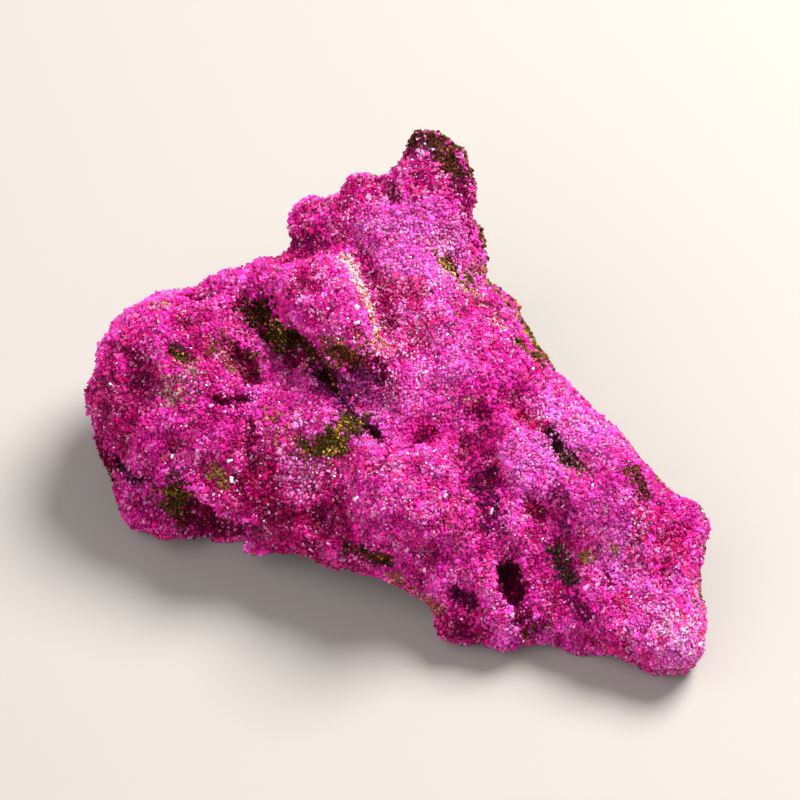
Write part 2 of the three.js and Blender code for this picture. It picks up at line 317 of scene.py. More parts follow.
# The relief: how wide and how high its forms are, in mm. Knobs also have the level that stays where
# the skin is, and a seed.
KNOBS = ((2.7, 0.82, 0.72, 11), (1.25, 0.42, 0.70, 23))
SWELL, SWELL_HEIGHT = 3.8, 0.45
RIDGE, RIDGE_HEIGHT, RIDGE_LEVEL = 7.0, 0.6, 0.4
RIDGE_STRETCH = [1.0, 1.0, 1.9]  # the rock's ridges lie closer together in height
DENT, DENT_DEPTH = 4.6, 0.55
DENT_EDGE = 0.35, 1.0  # a dent starts at the first level and is at its deepest at the second
DENT_CHANCE = 0.35, 0.6  # no dent below the first random number, and a whole one above the second
CALM, CALM_LEVELS = 11.0, (-0.3, 0.5)  # clouds that weaken the relief where they are low
LEAST, REST = 0.55, 0.45  # its strength there, and what is added elsewhere
ROCK_CALM = 0.4  # how much of the crust's relief is gone on bare rock
RAGGED_CUTS = ((0.40, 2.0, 40, 1), (0.25, 0.9, 41, 1))
FADE = 1.6  # the relief fades out over this height above the floor, in mm


def worn_back(points, triangles):
    """The solid's corners with the low edges of its back worn: each goes half of the way to the mean
    of its neighbours, time after time, the further back and the lower the more."""
    back = points[:, 1] + 0.35 * np.maximum(points[:, 0], 0)  # it reaches further forward on the right
    worn = smooth_step(*WORN_HEIGHTS, points[:, 2]) * smooth_step(*WORN_BACK, back)
    resting = points[:, 2] < ON_FLOOR
    for _ in range(WORN_ROUNDS):
        points = points + 0.5 * worn[:, None] * (mean_of_neighbours(points, triangles) - points)
        points[resting, 2] = 0
    return points


def finer(points, triangles, maps):
    """Facets split in four and evened out, and split again. Corners on the floor stay where they
    are, and which they are is given too."""
    for _ in range(SPLITS):
        points, triangles, maps = split_in_four(points, triangles, maps)
        resting = points[:, 2] < ON_FLOOR
        for share in EVENING:
            moved = points + share * (mean_of_neighbours(points, triangles) - points)
            moved[resting] = points[resting]
            points = moved
    return points, triangles, maps, resting


def relief(points, normals):
    """How far the skin is raised, in mm: two sizes of knobs and a swell, weaker where the crust is
    smooth; on bare rock, sharp ridges where noise crosses zero; round dents here and there; and each
    cut, a bell-shaped groove along its path with a ragged border."""
    calm = layered_clouds(points, CALM, seed=31, layers=2)
    knobbly = LEAST + REST * smooth_step(*CALM_LEVELS, calm)
    for place, radius, most in SMOOTH.values():
        away = np.linalg.norm(points - place, axis=1) / radius
        knobbly *= 1 - most * smooth_step(*SMOOTH_EDGE, away)
    rise = np.zeros(len(points))
    for size, height, level, seed in KNOBS:
        knob, _ = domes(points, size, seed)
        rise += height * (knob - level)
    rise += SWELL_HEIGHT * layered_clouds(points, SWELL, seed=5)
    bare = rock_share(points, normals)
    ridges = 1 - 2 * np.abs(layered_clouds(points * RIDGE_STRETCH, RIDGE, seed=131))
    rise = rise * knobbly * (1 - ROCK_CALM * bare) + RIDGE_HEIGHT * (ridges - RIDGE_LEVEL) * bare - SINK
    dents, chance = domes(points, DENT, seed=47)
    dents = smooth_step(*DENT_EDGE, dents)
    rise -= DENT_DEPTH * dents * smooth_step(*DENT_CHANCE, chance) * knobbly
    ragged = mixed_clouds(points, RAGGED_CUTS)
    for path, width, depth in CUTS.values():
        near = distance_to_path(points, path) + width * ragged
        rise -= depth * np.exp(-((np.maximum(near, 0) / width) ** 2))
    return rise


def stone_skin():
    """The solid made finer, and raised or cut along its normals by the relief; the floor side stays
    flat. The places before raising are given too: the named places are measured from them."""
    points, triangles = joined_corners("corundum_stone")
    maps = half_cells(len(triangles))
    ground, triangles, maps, resting = finer(worn_back(points, triangles), triangles, maps)
    broad = corner_normals(ground, triangles)
    keep = smooth_step(0.0, FADE, ground[:, 2])
    points = ground + broad * (relief(ground, broad) * keep)[:, None]
    points[:, 2] = np.maximum(points[:, 2], 0)
    points[resting, 2] = 0
    return points, ground, triangles, maps


def hollowness(points, triangles, normals, rounds=8):
    """How deep each corner lies under the skin round it, in mm: above zero in hollows and below zero
    on knobs. The skin round it is the mean of the neighbours, taken over and over."""
    softened = points
    for _ in range(rounds):
        softened = mean_of_neighbours(softened, triangles)
    return np.sum((softened - points) * normals, axis=1)


# -------------------- colours


HOT_PINK = np.array([0.76, 0.105, 0.54])
MAGENTA = np.array([0.65, 0.019, 0.315])
DEEP = np.array([0.44, 0.003, 0.145])
CRIMSON = np.array([0.25, 0.001, 0.058])
ROSE = np.array([0.72, 0.014, 0.200])
PURPLE = np.array([0.17, 0.006, 0.085])
VIOLET = np.array([0.48, 0.045, 0.300])
RED = np.array([0.30, 0.003, 0.060])
PALE_PINK = np.array([0.88, 0.36, 0.66])
CREAM = np.array([0.82, 0.50, 0.46])
GREY_PINK = np.array([0.46, 0.10, 0.30])
GREY_OLIVE = np.array([0.17, 0.085, 0.075])
GOLD_OLIVE = np.array([0.34, 0.185, 0.035])
OLIVE = np.array([0.110, 0.062, 0.012])
BROWN = np.array([0.120, 0.034, 0.014])
DARK = np.array([0.022, 0.006, 0.009])
RUST = np.array([0.50, 0.12, 0.025])
SAND = np.array([0.70, 0.42, 0.16])
CLAY = np.array([0.34, 0.085, 0.055])
# near-white for the painted glints on the large crystals
PAINTED_GLINT_WHITE = np.array([0.90, 0.78, 0.86])
SOFT_PINK = np.array([0.85, 0.24, 0.56])


def cut_path(*names):
    """The places on the path of a cut, or of several cuts one after another."""
    return [place for name in names for place in CUTS[name][0]]


# Where the crust has another colour: path in mm, radius, colour, share of the colour in the middle. Many of
# the dark ones are painted shade and some pale ones painted highlights, as marked; the rest are the stone's
# own colours.
PATCHES = {
    # the crevice, and the crack and the basin beside the thumb
    # crevice, crevice_low and thumb_gap are dark brown and olive host rock, darkened to near black as
    # painted shade in the deep crevice
    "crevice": ([(-18.7, 11.4, 23.7), (-17.4, 9.8, 23.0), (-16.2, 8.6, 22.2)], 1.8, BROWN * 0.35, 1.0),
    "crevice_low": ([(-16.4, 8.8, 22.3), (-14.6, 7.2, 21.4)], 1.6, OLIVE * 0.7, 0.95),
    "thumb_gap": ([(-13.6, 7.4, 21.6), (-11.8, 5.1, 22.0), (-10.7, 3.8, 21.7), (-9.4, 2.0, 22.3),
                   (-8.2, 0.2, 23.0)], 1.5, BROWN * 0.35, 1.0),
    "crevice_rim": ([(-16.4, 6.9, 22.8), (-12.6, 3.9, 21.6)], 1.2, CLAY, 0.35),
    # crack_sides, crack, basin_dark and basin are painted shade: purple along the crack, dark in it, and
    # dark crimson and violet under the thumb's end, the basin partly the crust's own violet tint
    "crack_sides": (cut_path("crack")[::2], 1.6, PURPLE, 0.6),
    "crack": (cut_path("crack"), 0.85, DARK, 1.0),
    "crack_brown": ([(-9.8, 1.2, 22.3), (-8.6, 0.0, 22.3), (-7.2, -1.1, 21.9)], 0.6, RUST * 0.4, 0.5),
    "basin_dark": ([(-6.0, 0.9, 25.1), (-4.4, 0.8, 24.2), (-3.2, 0.8, 23.2)], 2.0, CRIMSON * 0.7, 0.95),
    "basin": ([(-5.2, -0.6, 22.2), (-3.8, -1.2, 20.6), (-2.6, -3.4, 20.4)], 2.4, VIOLET * 0.8, 0.8),
    # the bare patch, the left lobe and the front
    "olive_patch": ([(-11.4, -8.9, 18.1), (-9.7, -8.6, 19.0), (-7.5, -8.0, 20.3), (-6.1, -6.8, 21.1)],
                    2.15, OLIVE * 0.9, 1.0),
    "warm_spots": ([(-17.3, -4.5, 20.7), (-14.9, -5.1, 19.6), (-15.8, -6.2, 19.1)], 1.5, CLAY, 0.4),
    "pale_spot": ([(-15.2, -8.3, 17.8)], 0.9, SOFT_PINK, 0.75),
    "pale_streak": ([(-13.2, -5.2, 19.7), (-12.9, -3.9, 20.4)], 0.75, SOFT_PINK, 0.8),
    "olive_spots": (cut_path("olive_hollow"), 1.1, OLIVE * 0.7, 0.9),
    "grey_lobe": ([(-30.5, 0.8, 21.9), (-29.0, -2.0, 21.9), (-27.0, 0.2, 23.8)],
                  2.0, GREY_OLIVE * 2.4, 0.5),
    # left_hollow, warm_hollow, crescents, standing_slit and front_pit are painted shade in their dents and
    # pits
    "left_hollow": (cut_path("left_hollow"), 1.3, DEEP * 0.9, 0.7),
    "warm_hollow_wide": ([(-22.0, 4.6, 23.9), (-19.2, 3.0, 22.3)], 2.3, BROWN * 1.3, 0.55),
    "warm_hollow": ([(-20.8, 4.4, 23.9), (-19.9, 3.4, 22.3), (-18.9, 1.7, 21.4)], 1.7, CRIMSON * 0.5, 0.95),
    "warm_hollow_rim": ([(-22.4, 3.0, 23.6), (-20.6, 1.6, 22.6)], 1.3, CLAY, 0.35),
    "crescents": (cut_path("crescent_left", "crescent_right"), 0.7, CRIMSON * 0.5, 0.9),
    "standing_slit": (cut_path("standing_slit"), 0.9, CRIMSON * 0.6, 0.7),
    "grey_front": ([(-13.9, -10.2, 17.2), (-13.2, -12.0, 15.8), (-11.4, -11.0, 16.7)],
                   2.2, GREY_PINK * 1.25, 0.55),
    "glint_spot": ([(-24.0, -10.6, 15.9), (-22.8, -11.9, 15.9)], 1.1, GOLD_OLIVE * 0.6, 0.85),
    "front_pit": (cut_path("front_pit"), 1.2, DEEP * 0.7, 0.85),
    "shoulder_edge": ([(-31.8, 13.0, 23.7)], 1.2, OLIVE * 2.0, 0.7),
    # the thumb
    # thumb_rim is a painted highlight: a cream band along the thumb's lit rim
    "thumb_rim": ([(-7.0, 16.8, 27.7), (-5.4, 14.8, 27.3), (-4.3, 11.9, 27.5), (-3.6, 8.7, 27.2),
                   (-3.0, 6.2, 27.0)], 1.25, CREAM * 1.1, 0.95),
    "thumb_rim_low": ([(-3.6, 8.7, 27.2), (-3.0, 6.2, 27.0), (-1.5, 4.0, 25.5), (-2.6, 2.6, 27.0)],
                      1.3, SAND, 0.36),
    "rim_shadow": (cut_path("rim_fold"), 1.3, DEEP * 0.8, 0.6),
    "thumb_end": ([(-9.4, 2.2, 27.4), (-7.0, 1.4, 27.8), (-4.6, 1.8, 28.0)], 1.3, CLAY, 0.5),
    "thumb_under": ([(-9.4, 1.9, 26.4), (-7.4, 0.6, 26.6), (-5.6, 0.9, 26.0)], 1.8, BROWN * 1.4, 0.9),
    # the saddle, the bright ridge and the arm's valley
    # creek, creek_hole, valley, slit, grey_pit, brown_pit, arm_valley and arm_valley_low are painted shade
    # in grooves, pits and valleys, arm_valley partly olive host rock
    "creek": (cut_path("creek"), 0.8, CRIMSON * 0.6, 0.6),
    "creek_hole": (cut_path("creek_hole"), 1.2, CRIMSON * 0.6, 0.55),
    "sand_spot": ([(10.1, -3.8, 23.2)], 0.9, SAND, 0.4),
    "valley": ([(11.1, -12.0, 17.4), (12.1, -14.9, 16.3), (12.7, -18.3, 15.3)], 1.9, PURPLE * 0.8, 0.6),
    "red_groove": (cut_path("red_groove"), 1.05, RED * 1.5, 0.95),
    "slit": (cut_path("slit"), 0.8, DARK, 0.75),
    "grey_pit": (cut_path("grey_pit"), 0.9, DARK * 1.6, 0.85),
    "grey_pit_grains": ([(22.0, -10.6, 19.2), (24.4, -12.0, 18.3)], 1.0, GREY_OLIVE * 3.2, 0.42),
    "ridge_foot": ([(21.1, -14.8, 18.4), (22.3, -16.8, 15.6), (22.9, -18.5, 13.5)], 1.5, PURPLE * 1.3, 0.5),
    "brown_pit": (cut_path("brown_pit"), 1.2, CRIMSON * 0.8, 0.95),
    "arm_valley": ([(20.9, -20.2, 11.3), (22.1, -21.4, 9.8), (22.8, -22.6, 9.3)],
                   1.4, GREY_OLIVE * 0.45, 0.8),
    "arm_valley_low": ([(23.2, -25.6, 8.8), (24.9, -28.0, 8.1)], 1.5, PURPLE * 0.9, 0.6),
    "arm_valley_brown": ([(24.4, -21.2, 11.6), (25.6, -21.4, 12.2)], 1.0, GOLD_OLIVE * 0.7, 0.8),
    # the arm's tip
    "tip_brown": ([(28.5, -21.7, 13.8)], 0.8, GOLD_OLIVE * 0.9, 0.6),
    # tip_pit is painted shade in the pit
    "tip_pit": (cut_path("tip_pit"), 0.9, CRIMSON * 0.5, 0.6),
    "tip_clump_high": ([(31.8, -21.0, 15.3)], 1.2, ROSE * 0.5, 0.75),
    "tip_clump_right": ([(36.4, -20.9, 13.0)], 1.1, ROSE * 0.6, 0.7),
    "tip_clump_low": ([(29.5, -26.8, 10.4)], 1.1, ROSE * 0.5, 0.75),
    "tip_clump_left": ([(28.0, -24.9, 11.2)], 0.9, CRIMSON, 0.6),
    "tip_rose": ([(29.7, -26.9, 10.2)], 1.2, ROSE * 0.8, 0.8),
    # the cave and the lower edge
    # cave, cave_low and lower_dents are painted shade in the cave and in the dents under the arm
    "cave": ([(14.5, -22.6, 10.5), (15.1, -24.5, 9.5)], 1.4, CRIMSON * 0.45, 1.0),
    "cave_low": ([(16.0, -25.8, 9.1), (16.6, -27.6, 8.2)], 1.7, CRIMSON * 0.6, 0.95),
    "lower_dents": (cut_path("lower_dent_left", "lower_dent_right"), 1.0, PURPLE * 0.6, 0.8),
    "olive_strip": ([(-5.7, -20.4, 12.3), (-3.6, -21.6, 12.0), (-1.5, -22.1, 11.3)], 1.2, BROWN * 0.7, 1.0),
    "low_edge": ([(0.0, -22.7, 8.6), (2.1, -23.5, 7.2), (4.3, -24.6, 5.8), (6.1, -26.3, 5.8)],
                 1.2, CLAY, 0.85),
    "low_lobe": ([(7.0, -28.4, 5.7), (9.1, -29.0, 4.9)], 2.2, RED * 0.6, 0.7),
    "low_bay": ([(17.6, -29.0, 4.4), (20.4, -29.6, 4.0)], 1.4, BROWN, 0.8),
    "tip_ledge": ([(25.0, -30.0, 5.0), (28.3, -30.9, 4.0), (31.9, -32.6, 3.4), (35.5, -33.7, 2.9)],
                  1.6, ROSE * 0.7, 0.6),
    "tip_top_rose": ([(33.4, -18.6, 16.4), (36.4, -20.4, 13.2)], 2.6, ROSE * 0.8, 0.6),
    # the slab and the peak
    "slab_rose": ([(-1.5, 12.6, 26.7), (0.9, 11.0, 27.1), (2.8, 10.4, 27.3)], 2.2, ROSE * 0.65, 0.8),
    # bump_side and peak_gap are painted shade: under the bump's lower side, and in the gap by the peak
    "bump_side": ([(-13.7, 22.3, 25.2), (-11.8, 21.1, 25.8), (-9.3, 20.4, 26.8)], 1.7, PURPLE, 0.4),
    "peak_gap": (cut_path("peak_gap"), 0.9, CRIMSON, 0.9),
    "small_bump": ([(-5.0, 26.0, 31.0), (-3.0, 27.0, 31.6)], 2.2, DEEP, 0.45),
    "peak_band": ([(1.9, 31.7, 35.5), (3.4, 31.0, 37.5), (5.0, 30.6, 37.0), (6.3, 29.6, 36.2),
                   (7.4, 28.2, 35.0), (8.6, 26.7, 33.4)], 1.8, BROWN * 0.5, 0.95),
    "peak_band_low": ([(9.2, 25.6, 32.6), (9.9, 23.3, 30.4), (10.3, 22.0, 27.8)], 1.2, DEEP * 0.5, 0.85),
    # peak_apex is a painted highlight at the peak's top
    "peak_apex": ([(3.4, 29.1, 36.0)], 1.1, PALE_PINK, 0.35),
    # the right edge
    "edge_mix": ([(6.8, 16.3, 28.1), (8.3, 13.5, 27.9), (9.8, 11.8, 26.9)], 1.5, SAND, 0.22),
    "edge_cream": ([(11.7, 10.9, 26.2), (13.2, 9.6, 25.1), (15.3, 6.8, 24.7)], 1.1, CREAM, 0.4),
    "edge_violet": ([(10.9, 20.4, 24.9), (12.5, 18.0, 24.2)], 1.5, VIOLET * 1.5, 0.5),
    # tip_pale is a painted highlight along the lit edges of the arm's tip
    "tip_pale": ([(36.2, -31.0, 9.6), (37.5, -32.6, 8.9)], 2.1, PALE_PINK * 1.1, 0.65),
    "edge_high": ([(10.8, 21.6, 26.8), (11.8, 21.0, 24.1), (12.8, 17.6, 22.6)], 1.6, DEEP, 0.35),
    "edge_olive": ([(16.4, 5.2, 24.3), (18.3, 4.0, 23.4), (19.6, 2.6, 23.0)], 1.05, OLIVE * 0.8, 0.85),
    "edge_brown": ([(30.9, -13.9, 20.8), (32.1, -15.0, 19.8), (33.0, -16.2, 18.6)], 1.4, BROWN, 0.85),
    # the left foot and the recess under the eave
    "foot_top": ([(-35.7, -6.4, 8.8), (-33.9, -7.2, 8.6), (-32.2, -7.4, 7.6)], 1.8, VIOLET * 1.5, 0.45),
    # foot_gap, recess_dark and recess_roof are painted shade: in the gap above the foot and in the recess
    # under the eave
    "foot_gap": ([(-37.5, -3.2, 8.6), (-34.5, -7.4, 11.0), (-32.0, -8.4, 11.0)], 1.3, DARK, 0.8),
    "recess_olive": ([(-30.2, -7.6, 8.4), (-29.0, -8.4, 7.2), (-27.7, -9.4, 6.0)], 2.1, OLIVE, 1.0),
    "recess_dark": ([(-25.9, -9.2, 5.2), (-23.8, -10.0, 3.7), (-21.0, -10.8, 3.4)],
                    2.6, CRIMSON * 0.8, 1.0),
    "recess_roof": ([(-28.4, -9.8, 12.2), (-24.6, -12.6, 10.6), (-21.0, -14.4, 8.0)],
                    2.4, BROWN * 0.6, 0.85),
    "foot_low": ([(-33.0, -12.6, 4.4), (-29.4, -13.2, 4.4), (-26.6, -12.8, 4.0)], 1.6, RED, 0.5),
    "foot_nub": ([(-40.4, -0.1, 8.7), (-39.5, -1.7, 6.8)], 2.6, RED * 0.45, 0.95),
}


def zone_value(points, entry):
    """The sum over the named zones of one of their values, each fading out at the zone's radius."""
    total = np.zeros(len(points))
    for zone in ZONES.values():
        away = np.linalg.norm(points - zone[0], axis=1) / zone[1]
        total += zone[entry] * smooth_step(*ZONE_EDGE, away)
    return total


# Directions for the bare rock: out of the broken face, the same on the level, and back and down.
BROKEN_FACE = np.array([0.80, 0.58, -0.10])
OUTWARD = np.array([0.80, 0.58, 0.0])
BACK_AND_DOWN = np.array([0.0, 0.64, -0.77])

# Bare rock runs from none to whole over these ranges, which are distances in mm, levels of noise, or
# how far a face is turned in a direction: 1 is straight on, and noise is added.
SHOULDER_OUT = 10.0, 14.0
SHOULDER_BACK = -2.0, 8.0
STEEP_FROM, STEEP_TO = 0.66, 0.92
SHOULDER_FROM, SHOULDER_TO = 0.26, 0.28  # how much sooner steep rock starts and ends at the shoulder
ISLANDS, ISLAND_SHARE = (0.30, 0.42), 0.9  # islands of crust, and how much of the rock they hide
PATCHY = 0.18, 0.30
TURNED_AWAY = 0.15, 0.45
UNDERSIDE = 0.45, 0.85
LOW_HEIGHTS = 1.6, 0.3
LOW_TURNED = -0.3, 0.2
RAGGED_ROCK = ((0.42, 5.5, 61, 4), (0.12, 1.2, 67, 1))
PATCH_RAGS, LOW_RAGS = 0.4, 3  # how much of that noise the scattered patches and the low border take


def rock_share(points, normals):
    """How much of the bare host rock shows: all of it underneath and low down at the back, most of
    it on the steep face behind the peak and the shoulder, and scattered patches on the other faces
    turned back and down. Every border is ragged, and islands of crust are left on the bare faces."""
    ragged = mixed_clouds(points, RAGGED_ROCK)
    behind = normals @ BROKEN_FACE + ragged
    outer = smooth_step(*SHOULDER_OUT, points @ OUTWARD)
    shoulder = smooth_step(*SHOULDER_BACK, points[:, 1]) * outer
    start, end = STEEP_FROM - SHOULDER_FROM * shoulder, STEEP_TO - SHOULDER_TO * shoulder
    islands = smooth_step(*ISLANDS, layered_clouds(points, 4.2, seed=139))
    steep = smooth_step(start, end, behind) * (1 - ISLAND_SHARE * islands)
    turned_away = normals @ BACK_AND_DOWN
    patchy = smooth_step(*PATCHY, layered_clouds(points, 7.5, seed=149, layers=4))
    scattered = smooth_step(*TURNED_AWAY, turned_away + PATCH_RAGS * ragged) * patchy
    under = smooth_step(*UNDERSIDE, -normals[:, 2] + ragged)
    low = smooth_step(*LOW_HEIGHTS, points[:, 2] + LOW_RAGS * ragged)
    low *= smooth_step(*LOW_TURNED, turned_away)
    return np.clip(np.maximum.reduce([steep, scattered, under, low]), 0, 1)


# The crust's colours from the darkest tone to the brightest, and the tones that they stand at: hollows take
# the darker ones as painted shade, and knobs the brighter ones as painted light.
CRUST_COLOURS = np.stack([CRIMSON, DEEP, MAGENTA, HOT_PINK])
TONES = (0.0, 0.32, 0.68, 1.15)
MIDDLE_TONE = 0.66
TONE_CLOUDS = ((0.25, 7.0, 71, 3), (0.19, 1.6, 73, 1))
ROSE_CLOUDS = ((0.8, 6.0, 79, 2), (0.4, 2.5, 85, 1), (1.0, 1.0, 81, 1))
ROSE_LEVELS, MOST_ROSE = (0.15, 0.80), 0.80
ROSE_TONES, ROSE_GAIN = (0.2, 1.0), 1.1  # rose is this much brighter, times the tone in this range
BORDER_CLOUDS = ((0.6, 2.4, 90, 1), (0.45, 1.1, 91, 1), (0.25, 0.5, 97, 1))
WANDER, WIDEST = 0.45, 1.6  # the border of a patch wanders more the wider it is, up to this radius
ROCK_DARK = 0.2  # a patch darker than this has the host rock's grains


def crust_tones(points, hollow):
    """The crust's colour, with painted light and shade. Its tone is the middle one, plus clouds and the
    named zones, which paint light and shade, less the depth of the hollow, which paints shade in hollows
    and light on knobs, and clouds of three sizes turn parts of it to rose."""
    tone = mixed_clouds(points, TONE_CLOUDS, start=MIDDLE_TONE)
    tone = tone - hollow + zone_value(points, PAINTED_LIGHT_SHADE)
    colour = np.stack([np.interp(tone, TONES, c) for c in CRUST_COLOURS.T], axis=1)
    rosy = MOST_ROSE * smooth_step(*ROSE_LEVELS, mixed_clouds(points, ROSE_CLOUDS))[:, None]
    rose = ROSE * np.clip(tone, *ROSE_TONES)[:, None] * ROSE_GAIN
    return colour + (rose - colour) * rosy


# The host rock's stains, each over a range of levels of noise or of a normal's part to the back.
BROWNER, GREYER, REDDER = (-0.2, 0.5), (0.3, 0.9), (0.1, -0.4)
MOST_RED = 0.8
VEIN = 0.05, 0.0
# HOLLOW_SHADE is painted shade in the rock's hollows; VEIN_SHADE is the veins' own darkness
ROCK_VALUE, HOLLOW_SHADE, VEIN_SHADE = 1.15, 1.8, 0.5  # the rock's brightness, and what lowers it
ROCK_VALUES = 0.25, 1.6


def rock_colour(points, normals, hollow):
    """The host rock's colour: olive, with brown and grey stains, crimson towards the front, darker in
    hollows as painted shade, and darker along thin veins, which are where noise crosses zero."""
    stain = layered_clouds(points, 3.0, seed=83)[:, None]
    bare = OLIVE + (BROWN - OLIVE) * smooth_step(*BROWNER, stain)
    greyer = smooth_step(*GREYER, layered_clouds(points, 5.0, seed=89))[:, None]
    bare = bare + (GREY_OLIVE - bare) * greyer
    bare = bare + (CRIMSON - bare) * MOST_RED * smooth_step(*REDDER, normals[:, 1])[:, None]
    vein = smooth_step(*VEIN, np.abs(layered_clouds(points, 6.0, seed=137)))
    value = ROCK_VALUE - HOLLOW_SHADE * hollow - VEIN_SHADE * vein
    return bare * np.clip(value, *ROCK_VALUES)[:, None]


def laid_over(colour, over, share, draw):
    """One colour over another: blended by its share, or, where there is a random generator, taken
    whole or not at all, with the share as its chance."""
    if draw is None:
        return colour + (over - colour) * share[:, None]
    return np.where(draw.random((len(share), 1)) < share[:, None], over, colour)


def crust_colour(points, normals, hollow, draw=None):
    """The colour of what lies at each point, and how much of it is host rock. Host rock goes over
    the crust, and then each named patch. A patch fades out with the distance from its path over its
    radius, and noise moves its border in and out. On the skin the colours blend, and where a random
    generator is given, they are drawn grain by grain."""
    rock = rock_share(points, normals)
    colour = laid_over(crust_tones(points, hollow), rock_colour(points, normals, hollow), rock, draw)
    wander = mixed_clouds(points, BORDER_CLOUDS)
    for path, radius, patch, most in PATCHES.values():
        away = distance_to_path(points, path) / radius + WANDER * min(radius, WIDEST) * wander
        share = most * smooth_step(*PATCH_EDGE, away)
        colour = laid_over(colour, patch, share, draw)
        if patch.max() < ROCK_DARK:
            rock = np.maximum(rock, share)
    return colour, rock


# -------------------- materials


def math_result(tree, operation, first, second):
    """The result of a Math node, whose two inputs are numbers or other nodes' sockets."""
    node = tree.nodes.new("ShaderNodeMath")
    node.operation = operation
    for socket, value in zip(node.inputs, (first, second)):
        if isinstance(value, bpy.types.NodeSocket):
            tree.links.new(value, socket)
        else:
            socket.default_value = value
    return node.outputs[0]


NOISE_LOW, NOISE_HIGH = 0.3, 0.7  # nearly all of the noise lies between these


def mineral_mottle():
    """A node group: light and dark mottling of a mineral's own colour, and a roughness that changes
    with it. Both are multiplied by noise, spread from one less the contrast to one plus it."""
    tree = bpy.data.node_groups.new("mineral_mottle", "ShaderNodeTree")
    for title, side, kind in (
        ("Colour", "INPUT", "Color"),
        ("Scale", "INPUT", "Float"),
        ("Contrast", "INPUT", "Float"),
        ("Roughness", "INPUT", "Float"),
        ("Colour", "OUTPUT", "Color"),
        ("Roughness", "OUTPUT", "Float"),
        ("Height", "OUTPUT", "Float"),
    ):
        tree.interface.new_socket(title, in_out=side, socket_type="NodeSocket" + kind)
    new, link = tree.nodes.new, tree.links.new
    given, result = new("NodeGroupInput"), new("NodeGroupOutput")
    place = new("ShaderNodeTexCoord")
    noise = new("ShaderNodeTexNoise")
    noise.inputs["Detail"].default_value = 4
    link(place.outputs["Object"], noise.inputs["Vector"])
    link(given.outputs["Scale"], noise.inputs["Scale"])
    spread = new("ShaderNodeMapRange")
    spread.inputs["From Min"].default_value = NOISE_LOW
    spread.inputs["From Max"].default_value = NOISE_HIGH
    link(noise.outputs["Fac"], spread.inputs["Value"])
    contrast = given.outputs["Contrast"]
    link(math_result(tree, "SUBTRACT", 1, contrast), spread.inputs["To Min"])
    link(math_result(tree, "ADD", 1, contrast), spread.inputs["To Max"])
    mottled = spread.outputs["Result"]
    scaled = new("ShaderNodeVectorMath")
    scaled.operation = "SCALE"
    link(given.outputs["Colour"], scaled.inputs[0])
    link(mottled, scaled.inputs["Scale"])
    link(scaled.outputs["Vector"], result.inputs["Colour"])
    rough = math_result(tree, "MULTIPLY", given.outputs["Roughness"], mottled)
    link(rough, result.inputs["Roughness"])
    link(noise.outputs["Fac"], result.inputs["Height"])
    return tree


MOTTLE = mineral_mottle()


def mineral(name, per_metre, contrast, shine, roughness=None, bump=None, ior=1.5):
    """A material whose colour is the mesh's own tint attribute, mottled by the shared group at so
    many mottles to the metre. Where no roughness is given, it is the mesh's roughness attribute. The
    bump is the height of the mottles in millimetres."""
    material = bpy.data.materials.new(name)
    material.use_nodes = True
    nodes, link = material.node_tree.nodes, material.node_tree.links.new
    shader = nodes["Principled BSDF"]
    shader.inputs["IOR"].default_value = ior
    shader.inputs["Specular IOR Level"].default_value = shine
    mottle = nodes.new("ShaderNodeGroup")
    mottle.node_tree = MOTTLE
    mottle.inputs["Scale"].default_value = per_metre
    mottle.inputs["Contrast"].default_value = contrast
    tint = nodes.new("ShaderNodeAttribute")
    tint.attribute_name = "tint"
    link(tint.outputs["Color"], mottle.inputs["Colour"])
    if roughness is None:
        rough = nodes.new("ShaderNodeAttribute")
        rough.attribute_name = "roughness"
        link(rough.outputs["Fac"], mottle.inputs["Roughness"])
    else:
        mottle.inputs["Roughness"].default_value = roughness
    link(mottle.outputs["Colour"], shader.inputs["Base Color"])
    link(mottle.outputs["Roughness"], shader.inputs["Roughness"])
    if bump is not None:
        raised = nodes.new("ShaderNodeBump")
        raised.inputs["Distance"].default_value = bump * MM
        link(mottle.outputs["Height"], raised.inputs["Height"])
        link(raised.outputs["Normal"], shader.inputs["Normal"])
    return material


SKIN = mineral("corundum_skin", per_metre=1300, contrast=0.30, shine=0.05, roughness=0.55, bump=0.35)
CRYSTAL = mineral("corundum_crystal", per_metre=700, contrast=0.18, shine=0.06)
GLINT = mineral("corundum_bright_face", per_metre=700, contrast=0.10, shine=0.55, ior=1.7)


# -------------------- meshes


